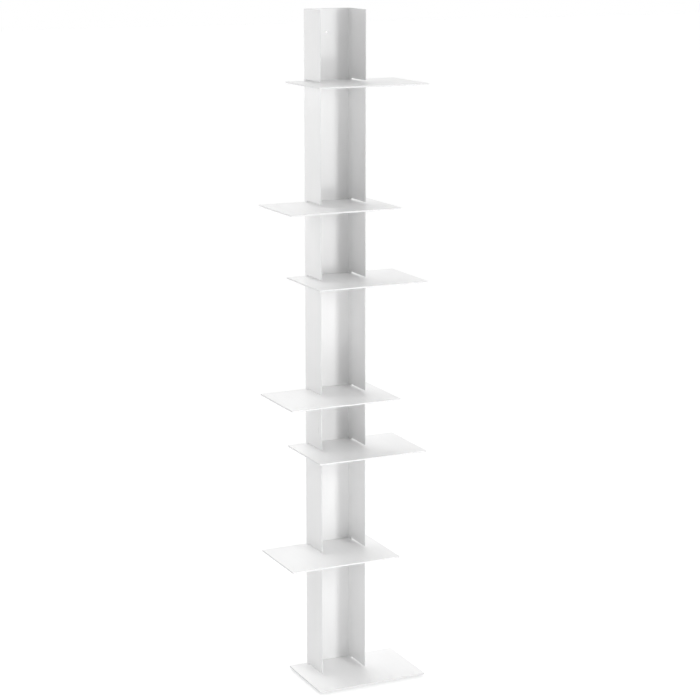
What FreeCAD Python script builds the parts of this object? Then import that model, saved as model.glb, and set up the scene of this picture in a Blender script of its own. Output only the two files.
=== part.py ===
import FreeCAD, Part
import math
import os

# Spine bookshelf: a folded steel column with plates slid into it from the front.
# Millimetres. X runs to the right, Y to the wall behind, Z up.
# The origin is on the floor, midway across the column and midway along the depth of the shelves.

Vector = FreeCAD.Vector

# Driving sizes of the shelves
SHELF_DEPTH = 200.0
SHELF_THICKNESS = 4.0
SHELF_CORNER_RADIUS = 2.0
SHORT_OVERHANG = 50.0
LONG_OVERHANG = 125.0

# Driving sizes of the column
COLUMN_WIDTH = 125.0
COLUMN_DEPTH = 100.0
SHEET_THICKNESS = 2.0
BEND_INSIDE_RADIUS = 2.0

# Clear heights between one shelf and the next, from the floor up
FLOOR_GAP = 6.0
BAY_OVER_BASE_SHELF = 329.0
BAY_OVER_FIRST_SHELF = 269.0
BAY_OVER_SECOND_SHELF = 141.0
BAY_OVER_THIRD_SHELF = 292.0
BAY_OVER_FOURTH_SHELF = 186.0
BAY_OVER_FIFTH_SHELF = 299.0
COLUMN_OVER_TOP_SHELF = 177.0

# The joint between shelf and column
SLOT_HEADROOM = 4.0
FLANGE_LAND = 15.0
SIDE_CLEARANCE = 0.5
TENON_WIDTH = 40.0
TENON_HEADROOM = 0.2

# Floor pads and the hole for a wall screw
PAD_DIAMETER = 20.0
PAD_INSET = 25.0
PAD_EDGE_RADIUS = 1.0
WALL_HOLE_DIAMETER = 5.0
WALL_HOLE_BELOW_TOP = 59.0

# Planes that the column and the shelves share
WALL_Y = SHELF_DEPTH / 2
FRONT_Y = -SHELF_DEPTH / 2
WEB_FRONT_Y = WALL_Y - SHEET_THICKNESS
FLANGE_FRONT_Y = WALL_Y - COLUMN_DEPTH
SLOT_END_Y = WEB_FRONT_Y - FLANGE_LAND
FLANGE_OUTSIDE_X = COLUMN_WIDTH / 2
FLANGE_INSIDE_X = FLANGE_OUTSIDE_X - SHEET_THICKNESS

# Each shelf with the clear height over it and the side its long overhang is on
RIGHT, LEFT = 1, -1
SHELVES = (
    ("base_shelf", BAY_OVER_BASE_SHELF, RIGHT),
    ("first_shelf", BAY_OVER_FIRST_SHELF, LEFT),
    ("second_shelf", BAY_OVER_SECOND_SHELF, RIGHT),
    ("third_shelf", BAY_OVER_THIRD_SHELF, LEFT),
    ("fourth_shelf", BAY_OVER_FOURTH_SHELF, RIGHT),
    ("fifth_shelf", BAY_OVER_FIFTH_SHELF, LEFT),
    ("top_shelf", COLUMN_OVER_TOP_SHELF, RIGHT),
)

# A cutting box reaches this far beyond the faces it opens
OVERSHOOT = 1.0


def shelf_undersides():
    """Heights of the shelf undersides over the floor, and the height of the column's top."""
    heights = []
    underside = FLOOR_GAP
    for _, clear_height, _ in SHELVES:
        heights.append(underside)
        underside += SHELF_THICKNESS + clear_height
    column_top = underside
    return heights, column_top


def rounded_face(corners):
    """A flat face on the floor plane from corners given as x, y and rounding radius."""
    edges = []
    entries = []
    count = len(corners)
    for i, (x, y, radius) in enumerate(corners):
        corner = Vector(x, y, 0)
        to_last = Vector(*corners[i - 1][:2], 0) - corner
        to_next = Vector(*corners[(i + 1) % count][:2], 0) - corner
        if radius == 0:
            entries.append((corner, corner))
            continue
        to_last.normalize()
        to_next.normalize()
        half_angle = to_last.getAngle(to_next) / 2
        set_back = radius / math.tan(half_angle)
        bisector = to_last + to_next
        bisector.normalize()
        start = corner + to_last * set_back
        middle = corner + bisector * (radius / math.sin(half_angle) - radius)
        end = corner + to_next * set_back
        edges.append(Part.Arc(start, middle, end).toShape())
        entries.append((start, end))
    for i, (_, end) in enumerate(entries):
        next_start = entries[(i + 1) % count][0]
        edges.append(Part.makeLine(end, next_start))
    return Part.Face(Part.Wire(Part.__sortEdges__(edges)))


def box_between(low, high):
    """A box from its lowest corner to its highest."""
    low, high = Vector(*low), Vector(*high)
    size = high - low
    return Part.makeBox(size.x, size.y, size.z, low)


def column():
    """The folded channel, slotted for the shelves."""
    undersides, top = shelf_undersides()
    bend_outside_radius = BEND_INSIDE_RADIUS + SHEET_THICKNESS
    section = rounded_face(
        (
            (-FLANGE_OUTSIDE_X, FLANGE_FRONT_Y, 0),
            (-FLANGE_INSIDE_X, FLANGE_FRONT_Y, 0),
            (-FLANGE_INSIDE_X, WEB_FRONT_Y, BEND_INSIDE_RADIUS),
            (FLANGE_INSIDE_X, WEB_FRONT_Y, BEND_INSIDE_RADIUS),
            (FLANGE_INSIDE_X, FLANGE_FRONT_Y, 0),
            (FLANGE_OUTSIDE_X, FLANGE_FRONT_Y, 0),
            (FLANGE_OUTSIDE_X, WALL_Y, bend_outside_radius),
            (-FLANGE_OUTSIDE_X, WALL_Y, bend_outside_radius),
        )
    )
    cuts = [cut for underside in undersides for cut in shelf_cuts(underside)]
    cuts.append(wall_hole(top))
    return section.extrude(Vector(0, 0, top)).cut(cuts)


def shelf_cuts(underside):
    """The slot across both flanges and the slit in the web for one shelf."""
    reach = FLANGE_OUTSIDE_X + OVERSHOOT
    shelf_top = underside + SHELF_THICKNESS
    flange_slots = box_between(
        (-reach, FLANGE_FRONT_Y - OVERSHOOT, underside),
        (reach, SLOT_END_Y, shelf_top + SLOT_HEADROOM),
    )
    half_slit = TENON_WIDTH / 2 + SIDE_CLEARANCE
    web_slit = box_between(
        (-half_slit, WEB_FRONT_Y - OVERSHOOT, underside),
        (half_slit, WALL_Y + OVERSHOOT, shelf_top + TENON_HEADROOM),
    )
    return flange_slots, web_slit


def wall_hole(column_top):
    """The round hole in the web that takes a screw into the wall."""
    start = Vector(0, WEB_FRONT_Y - OVERSHOOT, column_top - WALL_HOLE_BELOW_TOP)
    length = SHEET_THICKNESS + 2 * OVERSHOOT
    return Part.makeCylinder(WALL_HOLE_DIAMETER / 2, length, start, Vector(0, 1, 0))


def shelf(underside, side):
    """A plate whose back edge is slit over the flanges, with a tenon that enters the web."""
    short_end = -FLANGE_OUTSIDE_X - SHORT_OVERHANG
    long_end = FLANGE_OUTSIDE_X + LONG_OVERHANG
    slit_outside = FLANGE_OUTSIDE_X + SIDE_CLEARANCE
    slit_inside = FLANGE_INSIDE_X - SIDE_CLEARANCE
    slit_end = SLOT_END_Y - SIDE_CLEARANCE
    tongue_end = WEB_FRONT_Y - SIDE_CLEARANCE
    half_tenon = TENON_WIDTH / 2
    outline = rounded_face(
        (
            (short_end, FRONT_Y, SHELF_CORNER_RADIUS),
            (long_end, FRONT_Y, SHELF_CORNER_RADIUS),
            (long_end, WALL_Y, SHELF_CORNER_RADIUS),
            (slit_outside, WALL_Y, 0),
            (slit_outside, slit_end, 0),
            (slit_inside, slit_end, 0),
            (slit_inside, tongue_end, BEND_INSIDE_RADIUS),
            (half_tenon, tongue_end, 0),
            (half_tenon, WALL_Y, 0),
            (-half_tenon, WALL_Y, 0),
            (-half_tenon, tongue_end, 0),
            (-slit_inside, tongue_end, BEND_INSIDE_RADIUS),
            (-slit_inside, slit_end, 0),
            (-slit_outside, slit_end, 0),
            (-slit_outside, WALL_Y, 0),
            (short_end, WALL_Y, SHELF_CORNER_RADIUS),
        )
    )
    plate = outline.extrude(Vector(0, 0, SHELF_THICKNESS))
    plate.translate(Vector(0, 0, underside))
    if side == LEFT:
        return plate.mirror(Vector(0, 0, 0), Vector(1, 0, 0))
    return plate


def pad(x, y):
    """A round pad between the floor and the base shelf, softened round its foot."""
    blank = Part.makeCylinder(PAD_DIAMETER / 2, FLOOR_GAP, Vector(x, y, 0))
    foot_edges = [edge for edge in blank.Edges if edge.BoundBox.ZMax < FLOOR_GAP / 2]
    return blank.makeFillet(PAD_EDGE_RADIUS, foot_edges)


def pads():
    """The four pads, each named for the corner of the base shelf it stands under."""
    left = -FLANGE_OUTSIDE_X - SHORT_OVERHANG + PAD_INSET
    right = FLANGE_OUTSIDE_X + LONG_OVERHANG - PAD_INSET
    front = FRONT_Y + PAD_INSET
    back = WALL_Y - PAD_INSET
    return {
        "front_left_pad": pad(left, front),
        "front_right_pad": pad(right, front),
        "back_left_pad": pad(left, back),
        "back_right_pad": pad(right, back),
    }


pieces = {"column": column(), **pads()}
for (name, _, side), underside in zip(SHELVES, shelf_undersides()[0]):
    pieces[name] = shelf(underside, side)

os.makedirs("parts", exist_ok=True)
for name, shape in pieces.items():
    shape.exportStep(f"parts/{name}.step")
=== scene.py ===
# %% [markdown]
# # A spine bookshelf in white powder coat
# The real object is a tall column, folded from one sheet of steel, with seven thin plates pushed into it
# from the front. Each plate sticks out a little on one side and a lot on the other, by turns.
# The measured solids come from CAD and already have the right shape, so nothing is modelled twice here.
# This lesson gives them what CAD can't: softened edges, a paint that looks like paint, light and a camera.

# %% Load the measured solids
import math

import bpy
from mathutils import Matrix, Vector


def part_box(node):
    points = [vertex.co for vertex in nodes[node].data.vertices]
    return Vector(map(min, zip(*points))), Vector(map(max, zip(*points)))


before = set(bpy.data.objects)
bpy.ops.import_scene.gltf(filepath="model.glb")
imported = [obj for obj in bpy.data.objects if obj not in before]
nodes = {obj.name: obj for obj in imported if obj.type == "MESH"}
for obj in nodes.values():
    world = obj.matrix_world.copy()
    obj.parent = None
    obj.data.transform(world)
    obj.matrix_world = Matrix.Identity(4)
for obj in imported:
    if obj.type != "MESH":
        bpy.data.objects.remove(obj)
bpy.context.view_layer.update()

# %% [markdown]
# ## Sums for shaders
# A finish is a net of small nodes, and a formula in nodes is hard to read. One choice is to place each Math
# node by hand. Here a thin wrapper round a socket lets Python's own signs do it, so that `1 - mask` adds a
# Subtract node and hands back its result.


# %% A socket that can be added and multiplied
class Wire:
    """A socket of a finish. Arithmetic on it adds Math nodes."""

    def __init__(self, finish, socket):
        self.finish = finish
        self.socket = socket

    def math(self, operation, *terms):
        """Adds one Math node and hands back its result."""
        return self.finish.add("ShaderNodeMath", {"operation": operation}, dict(enumerate(terms)))["Value"]

    def __add__(self, other):
        return self.math("ADD", self, other)

    def __radd__(self, other):
        return self.math("ADD", other, self)

    def __sub__(self, other):
        return self.math("SUBTRACT", self, other)

    def __rsub__(self, other):
        return self.math("SUBTRACT", other, self)

    def __mul__(self, other):
        return self.math("MULTIPLY", self, other)

    def __rmul__(self, other):
        return self.math("MULTIPLY", other, self)

    def power(self, exponent):
        return self.math("POWER", self, exponent)

    def size(self):
        return self.math("ABSOLUTE", self)

    def least(self, other):
        return self.math("MINIMUM", self, other)

    def most(self, other):
        return self.math("MAXIMUM", self, other)


print("sockets can do sums")

# %% [markdown]
# ## One way to add a node
# A material and a world both own a node tree. Nodes that aren't arithmetic could each get a helper of their
# own, but one method is enough: it takes the node's type, its settings and what goes into its sockets.


# %% A finish adds its own nodes
class Finish:
    """A material, or a world, with one way to add any node to it."""

    def __init__(self, owner):
        owner.use_nodes = True
        self.owner = owner
        self.tree = owner.node_tree
        self.tree.nodes.clear()

    def add(self, kind, settings=None, values=None):
        """Adds a node: its settings first, then each socket's value or link. Returns its outputs by name."""
        node = self.tree.nodes.new(kind)
        for name, setting in (settings or {}).items():
            setattr(node, name, setting)
        for name, value in (values or {}).items():
            socket = self.find(node.inputs, name)
            if isinstance(value, Wire):
                self.tree.links.new(value.socket, socket)
            else:
                socket.default_value = value
        return {socket.name: Wire(self, socket) for socket in node.outputs if socket.enabled}

    @staticmethod
    def find(sockets, name):
        """A socket by its number or its name. Some nodes hold several of one name and use one."""
        if isinstance(name, int):
            return sockets[name]
        return next(socket for socket in sockets if socket.name == name and socket.enabled)


print("finishes can add nodes")

# %% [markdown]
# ## Patterns in metres
# Paint and rubber are never quite even. A picture of them could be wrapped round each piece, but it would
# stretch and repeat. Noise that is worked out from the place in space does neither, and as the solids are
# in metres, a wave of two millimetres is that long on every piece. A second helper fades a mark out with the
# distance from an edge.


# %% Noise of a known length, and a mark along an edge
def noise(finish, place, length, detail):
    """A noise whose features are about one length across, in metres, from 0 to 1."""
    values = {"Vector": place, "Scale": 1 / length, "Detail": detail}
    return finish.add("ShaderNodeTexNoise", {}, values)["Fac"]


def near(distance, width):
    """1 where the distance is nothing, falling to 0 at the width."""
    return (1 - distance.most(0.0) * (1 / width)).most(0.0)


print("patterns are measured in metres")

# %% [markdown]
# ## What varies in a powder coat
# The steel is sprayed with dry paint powder and baked. The powder melts and flows, but never quite flat, and
# leaves low waves about two millimetres long, called orange peel, with a finer grain on them. A slow noise
# shifts the tone a little, and one that is drawn out in one direction is the faint streaks that sliding books
# and wiping cloths leave over the years. Melted powder also draws back from a cut edge, so there the steel
# shows through as a greyer line. One more noise makes the width of that line uneven, because an even one
# would look printed.

# %% The patterns of the coat
WAVES = {"length": 0.0022, "detail": 1.0}
GRAIN = {"length": 0.0006, "detail": 2.0}
CLOUD = {"length": 0.16, "detail": 3.0}
RUB = {"length": 0.012, "detail": 4.0}
RAGGED = {"length": 0.006, "detail": 3.0}
NOISE_MIDDLE = 0.5
RIM_WIDTH = 0.0012
RIM_RAGGEDNESS = 0.0016
RIM_LEVEL = 0.7


def coat_patterns(finish, rim_distance, rub_stretch):
    """The patterns by name. rim_distance turns x, y, z into the distance from a cut edge, in metres."""
    place = finish.add("ShaderNodeTexCoord")["Object"]
    axes = finish.add("ShaderNodeSeparateXYZ", {}, {"Vector": place})
    stretch = {0: place, 1: rub_stretch}
    drawn_out = finish.add("ShaderNodeVectorMath", {"operation": "MULTIPLY"}, stretch)["Vector"]
    ragged = (noise(finish, place, **RAGGED) - RIM_LEVEL) * RIM_RAGGEDNESS
    return {
        "cloud": noise(finish, place, **CLOUD) - NOISE_MIDDLE,
        "rub": noise(finish, drawn_out, **RUB) - NOISE_MIDDLE,
        "waves": noise(finish, place, **WAVES),
        "grain": noise(finish, place, **GRAIN),
        "edge": near(rim_distance(axes["X"], axes["Y"], axes["Z"]) + ragged, RIM_WIDTH),
    }


print("waves of", WAVES["length"] * 1000, "mm under a grain of", GRAIN["length"] * 1000, "mm")

# %% [markdown]
# ## From patterns to a surface
# A finish here is a colour between two tones, a roughness and a relief, all joined in one Principled shader.
# The relief could be real bumps in the mesh, but millions of faces would be needed for a tenth of a
# millimetre. A Bump node tilts the light instead, and the outline stays as measured.


# %% Colour, relief and shader
def tinted(finish, share, plain, other):
    """A colour between two. The share of the other one is kept from 0 to 1."""
    settings = {"data_type": "RGBA", "clamp_factor": True}
    return finish.add("ShaderNodeMix", settings, {"Factor": share, "A": plain, "B": other})["Result"]


def relief(finish, height, depth, strength):
    """Bumps from a pattern of heights. A height of 1 stands for one depth, in metres."""
    values = {"Strength": strength, "Distance": depth, "Height": height}
    return finish.add("ShaderNodeBump", {}, values)["Normal"]


def cover(finish, colour, roughness, refraction, bumps):
    """Joins the shader and gives it to the material, which is handed back."""
    values = {"Base Color": colour, "Roughness": roughness, "IOR": refraction, "Normal": bumps}
    shader = finish.add("ShaderNodeBsdfPrincipled", {}, values)["BSDF"]
    finish.add("ShaderNodeOutputMaterial", {}, {"Surface": shader})
    return finish.owner


print("a surface is a colour, a roughness and a relief")

# %% [markdown]
# ## Powder coat
# The coat is a satin white. An even white would do from across a room, but close up it would look like
# plastic, so the patterns show faintly. The clouds and the streaks shift the tone and the gloss a little,
# the waves and the grain lift the surface about a tenth of a millimetre, and along an edge the thin coat
# is greyer and a little smoother.

# %% The white satin coat, with room for each piece's own edges
COAT_WHITE = (0.88, 0.88, 0.88, 1.0)
THIN_COAT = (0.78, 0.781, 0.783, 1.0)
COAT_ROUGHNESS = 0.34
COAT_REFRACTION = 1.58
TONE = {"cloud": 0.5, "rub": 0.3}
GLOSS = {"cloud": 0.15, "rub": 0.3, "grain": 0.04, "edge": 0.06}
PEEL_DEPTH = 0.0004
PEEL_STRENGTH = 0.8
GRAIN_IN_PEEL = 0.2


def powder_coat(name, rim_distance, rub_stretch):
    """A white coat for one piece, from the distance to its cut edges and the way its streaks run."""
    finish = Finish(bpy.data.materials.new(name))
    shown = coat_patterns(finish, rim_distance, rub_stretch)
    thin = shown["edge"] + shown["cloud"] * TONE["cloud"] + shown["rub"] * TONE["rub"]
    uneven = shown["cloud"] * GLOSS["cloud"] + shown["rub"] * GLOSS["rub"] + shown["grain"] * GLOSS["grain"]
    roughness = COAT_ROUGHNESS + uneven - shown["edge"] * GLOSS["edge"]
    peel = relief(finish, shown["waves"] + shown["grain"] * GRAIN_IN_PEEL, PEEL_DEPTH, PEEL_STRENGTH)
    return cover(finish, tinted(finish, thin, COAT_WHITE, THIN_COAT), roughness, COAT_REFRACTION, peel)


print("white of", COAT_WHITE[0], "that thins to", THIN_COAT[0])

# %% [markdown]
# ## Coat on the shelves
# A shelf is a plate with a cut edge all round. An edge mask could come from the mesh's curvature, but that
# depends on the mesh. The plate is very nearly a rectangle, so the distance from the nearest side of its
# box does the same. Books are pushed in from the front, so the streaks on a shelf run from front to back:
# the pattern is drawn out twenty times along that axis.

# %% Coat each shelf
SHELF_NAMES = [name for name in nodes if name.endswith("_shelf")]
FRONT_TO_BACK = (1.0, 0.05, 1.0)


def shelf_rim(name):
    """The distance from the rim of one shelf."""
    low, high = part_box(name)

    def distance(x, y, z):
        across = (x - low[0]).least(high[0] - x)
        along = (y - low[1]).least(high[1] - y)
        return across.least(along)

    return distance


for name in SHELF_NAMES:
    nodes[name].data.materials[0] = powder_coat(f"{name}_coat", shelf_rim(name), FRONT_TO_BACK)
print("coated", len(SHELF_NAMES), "shelves")

# %% [markdown]
# ## Coat on the column
# The column has cut edges too: its two ends, the fronts of its flanges and the mouth of each slot, which the
# shelf rubs each time it is pulled out. The mouths could be painted as a mask by hand, but a slot lies at the
# height of its shelf, so the shelf's own box gives its place. A slot stops a short way before the column's
# back. A cloth goes up and down a column, so these streaks stand upright.

# %% Coat the column
SLOT_HEADROOM = 0.004
SLOT_STOP = 0.017
UP_AND_DOWN = (1.0, 1.0, 0.05)
column_low, column_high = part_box("column")


def slot_rim(name, y, z):
    """The distance from the slot that one shelf goes into."""
    low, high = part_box(name)
    bottom = low[2]
    top = high[2] + SLOT_HEADROOM
    above_or_below = (z - (bottom + top) / 2).size() - (top - bottom) / 2
    behind = y - (column_high[1] - SLOT_STOP)
    return above_or_below.most(behind)


def column_rim(x, y, z):
    """The distance from the nearest cut edge of the column."""
    ends = (z - column_low[2]).least(column_high[2] - z)
    distance = ends.least(y - column_low[1])
    for name in SHELF_NAMES:
        distance = distance.least(slot_rim(name, y, z))
    return distance


nodes["column"].data.materials[0] = powder_coat("column_coat", column_rim, UP_AND_DOWN)
print("coated the column and the mouths of", len(SHELF_NAMES), "pairs of slots")

# %% [markdown]
# ## Rubber pads
# Four dark pads lift the base shelf off the floor. Plain black would do from a step away, but close up it
# would look like a hole. Moulded rubber is matt, with a fine dry bloom and dust that gathers round the foot.
# One noise is the bloom, the height over the floor gives the dust, and a finer noise is the grain of the
# mould.

# %% Mould the pads' rubber
RUBBER_BLACK = (0.035, 0.035, 0.036, 1.0)
RUBBER_DUST = (0.16, 0.155, 0.15, 1.0)
RUBBER_ROUGHNESS = 0.75
RUBBER_REFRACTION = 1.5
BLOOM = {"length": 0.004, "detail": 4.0}
BLOOM_TONE = 0.3
BLOOM_GLOSS = 0.15
DUST_HEIGHT = 0.003
DUST_TONE = 0.5
MOULD_GRAIN = {"length": 0.0004, "detail": 2.0}
MOULD_DEPTH = 0.0001
MOULD_STRENGTH = 0.4


def rubber(name):
    """Matt black rubber with bloom, dust and mould grain."""
    finish = Finish(bpy.data.materials.new(name))
    place = finish.add("ShaderNodeTexCoord")["Object"]
    height = finish.add("ShaderNodeSeparateXYZ", {}, {"Vector": place})["Z"]
    bloom = noise(finish, place, **BLOOM)
    dusty = near(height, DUST_HEIGHT) * DUST_TONE + bloom * BLOOM_TONE
    colour = tinted(finish, dusty, RUBBER_BLACK, RUBBER_DUST)
    bumps = relief(finish, noise(finish, place, **MOULD_GRAIN), MOULD_DEPTH, MOULD_STRENGTH)
    return cover(finish, colour, RUBBER_ROUGHNESS + bloom * BLOOM_GLOSS, RUBBER_REFRACTION, bumps)


pad_names = [name for name in nodes if name.endswith("_pad")]
pad_rubber = rubber("pad_rubber")
for name in pad_names:
    nodes[name].data.materials[0] = pad_rubber
print("made rubber for", len(pad_names), "pads")

# %% [markdown]
# ## Soft edges
# No painted edge is a perfect corner: the cut steel is brushed over and the coat flows round it. The rounding
# could be cut into the mesh, but the CAD mesh stays as it is, and four modifiers work on a copy of it at
# render time. Weld joins the corners that the file keeps apart, Decimate joins the triangles of each flat
# face, Bevel rounds what is left of the edges and Weighted Normal keeps the large faces flat in the light.

# %% Round the edges of the plates and the column
EDGE_RADIUS = 0.0005
EDGE_STEPS = 3
ROUND_FROM_ANGLE = math.radians(40)
FLAT_WITHIN_ANGLE = math.radians(1)
WELD_DISTANCE = 0.00001
SOFTENING = (
    ("weld_corners", "WELD", {"merge_threshold": WELD_DISTANCE}),
    ("join_flat_faces", "DECIMATE", {"decimate_type": "DISSOLVE", "angle_limit": FLAT_WITHIN_ANGLE}),
    (
        "round_edges",
        "BEVEL",
        {
            "width": EDGE_RADIUS,
            "segments": EDGE_STEPS,
            "limit_method": "ANGLE",
            "angle_limit": ROUND_FROM_ANGLE,
        },
    ),
    ("keep_faces_flat", "WEIGHTED_NORMAL", {"keep_sharp": False}),
)


def soften(piece):
    """Adds the modifiers in their order, each with its settings."""
    for name, kind, settings in SOFTENING:
        modifier = piece.modifiers.new(name, kind)
        for setting, value in settings.items():
            setattr(modifier, setting, value)


steel_names = ["column", *SHELF_NAMES]
for name in steel_names:
    soften(nodes[name])
print("softened", len(steel_names), "pieces by", EDGE_RADIUS * 1000, "mm")

# %% [markdown]
# ## Floor and backdrop
# The photograph was taken in a white studio. A large pale floor takes the shadow and throws light back up the
# column. A floor that is only lit would come out light grey, so to the camera and to gloss it adds a glow of
# its own. The glow stops short of white and the lit paint makes up the rest, which keeps the shadow.

# %% Lay the floor
FLOOR_SIZE = 60.0
FLOOR_WHITE = (0.92, 0.92, 0.92, 1.0)
FLOOR_SHADE = (0.45, 0.45, 0.45, 1.0)
FLOOR_GLOW = 0.63
PURE_WHITE = (1.0, 1.0, 1.0, 1.0)


def seen_directly(finish):
    """1 for rays from the camera, from gloss and through glass, and 0 for the rays that carry light about."""
    path = finish.add("ShaderNodeLightPath")
    return path["Is Camera Ray"].most(path["Is Glossy Ray"]).most(path["Is Transmission Ray"])


def floor_paint(name):
    """White paint that lights the object, and that looks whiter than it is lit."""
    finish = Finish(bpy.data.materials.new(name))
    paint = finish.add("ShaderNodeBsdfDiffuse", {}, {"Color": FLOOR_WHITE})["BSDF"]
    shade = finish.add("ShaderNodeBsdfDiffuse", {}, {"Color": FLOOR_SHADE})["BSDF"]
    glow = finish.add("ShaderNodeEmission", {}, {"Color": PURE_WHITE, "Strength": FLOOR_GLOW})["Emission"]
    looks = finish.add("ShaderNodeAddShader", {}, {0: shade, 1: glow})["Shader"]
    choice = {0: seen_directly(finish), 1: paint, 2: looks}
    shader = finish.add("ShaderNodeMixShader", {}, choice)["Shader"]
    finish.add("ShaderNodeOutputMaterial", {}, {"Surface": shader})
    return finish.owner


bpy.ops.mesh.primitive_plane_add(size=FLOOR_SIZE)
floor = bpy.context.object
floor.name = "floor"
floor.data.materials.append(floor_paint("floor_white"))
print("floor of", FLOOR_SIZE, "m")

# %% [markdown]
# ## The studio
# A photographer would stand the shelf in a dim room with two large white panels, one high up behind it and a
# weaker one to the right, so that the tops of the plates are bright while the inside of the column stays in
# shade. Panels could be lit planes, but then they would show in other views. A world that brightens towards
# each panel's direction does the same with no edges, and the camera and gloss still see plain white.

# %% Light the room with panels
ROOM_LEVEL = 0.35
PANELS = {
    "back": {"turn": 180, "rise": 45, "sharpness": 16, "level": 3.85},
    "right": {"turn": 60, "rise": 40, "sharpness": 2, "level": 0.58},
}


def panel_light(ray, turn, rise, sharpness, level):
    """The light of one panel: its turn to the right of the front and its rise are in degrees."""
    x, y, z = ray
    turn = math.radians(turn)
    rise = math.radians(rise)
    towards = (x * math.sin(turn) - y * math.cos(turn)) * math.cos(rise) + z * math.sin(rise)
    return towards.most(0.0).power(sharpness) * level


def light_room(world):
    """Lights a world from every side, and more from the panels."""
    finish = Finish(world)
    direction = finish.add("ShaderNodeTexCoord")["Generated"]
    ray = finish.add("ShaderNodeSeparateXYZ", {}, {"Vector": direction}).values()
    level = ROOM_LEVEL
    for panel in PANELS.values():
        level = level + panel_light(ray, **panel)
    seen = seen_directly(finish)
    strength = level * (1 - seen) + seen
    light = finish.add("ShaderNodeBackground", {}, {"Color": PURE_WHITE, "Strength": strength})["Background"]
    finish.add("ShaderNodeOutputWorld", {}, {"Surface": light})


studio = bpy.data.worlds.new("studio")
light_room(studio)
bpy.context.scene.world = studio
print("room at", ROOM_LEVEL, "with panels:", *PANELS)

# %% [markdown]
# ## Four soft lamps
# Two lamps stand a little to the right of the column's front, a soft box at head height and a strip at
# table height. Both brighten the left of the column's back and leave the corner by the right flange dark,
# and the strip throws the shadow of each upper plate a little way up the column. One tall lamp would blur
# it. A third lamp lights the left flange from the side, and a small weak one close to the base lifts the
# lowest bays. Gloss sees none of them, so they leave no hot spot on the satin coat.

# %% Set the lamps
LAMPS = {
    "soft_box": {"turn": 20, "distance": 3.0, "height": 1.8, "size": (0.6, 0.9), "power": 19.0},
    "low_strip": {"turn": 20, "distance": 3.0, "height": 0.78, "size": (0.6, 0.3), "power": 17.0},
    "left_box": {"turn": -110, "distance": 1.2, "height": 1.6, "size": (0.6, 1.0), "power": 4.6},
    "foot_lamp": {"turn": -25, "distance": 1.0, "height": 0.28, "size": (0.5, 0.3), "power": 1.7},
}
LAMP_AIM = Vector((0, 0, 0.9))


def soft_lamp(name, turn, distance, height, size, power):
    """An oval lamp at a turn to the right of the column's front, in degrees, that shines at the column."""
    data = bpy.data.lights.new(name, "AREA")
    data.shape = "ELLIPSE"
    data.size, data.size_y = size
    data.energy = power
    lamp = bpy.data.objects.new(name, data)
    angle = math.radians(turn)
    lamp.location = (math.sin(angle) * distance, -math.cos(angle) * distance, height)
    lamp.rotation_euler = (LAMP_AIM - lamp.location).to_track_quat("-Z", "Y").to_euler()
    lamp.visible_glossy = False
    lamp.visible_camera = False
    bpy.context.collection.objects.link(lamp)
    print(name, "of", power, "W")


for name, lamp in LAMPS.items():
    soft_lamp(name, **lamp)

# %% [markdown]
# ## Camera
# A camera can be placed by eye, but then the plates never quite line up with the photograph. This place, turn
# and tilt come from fitting the corners of the plates. The camera looks from the front left and a little
# down, through a long lens. With no turn at all a camera looks straight down, so a right angle brings it
# level first.

# %% Place the camera
CAMERA_TURN = math.radians(-25.48)
CAMERA_TILT = math.radians(12.6)
CAMERA_DISTANCE = 4.757
CAMERA_SIDESTEP = 0.0162
CAMERA_HEIGHT = 1.9405
IMAGE_SIZE = 700
FOCAL_PIXELS = 1923.8
SENSOR_WIDTH = 36.0
LEVEL_VIEW = math.radians(90)

camera_data = bpy.data.cameras.new("photo_camera")
camera_data.sensor_width = SENSOR_WIDTH
camera_data.lens = FOCAL_PIXELS / IMAGE_SIZE * SENSOR_WIDTH
camera = bpy.data.objects.new("photo_camera", camera_data)
back = Vector((math.sin(CAMERA_TURN), -math.cos(CAMERA_TURN), 0))
right = Vector((math.cos(CAMERA_TURN), math.sin(CAMERA_TURN), 0))
camera.location = back * CAMERA_DISTANCE + right * CAMERA_SIDESTEP + Vector((0, 0, CAMERA_HEIGHT))
camera.rotation_euler = (LEVEL_VIEW - CAMERA_TILT, 0, CAMERA_TURN)
bpy.context.collection.objects.link(camera)
bpy.context.scene.camera = camera
bpy.context.scene.view_settings.view_transform = "Standard"
print("lens", round(camera_data.lens, 1), "mm")
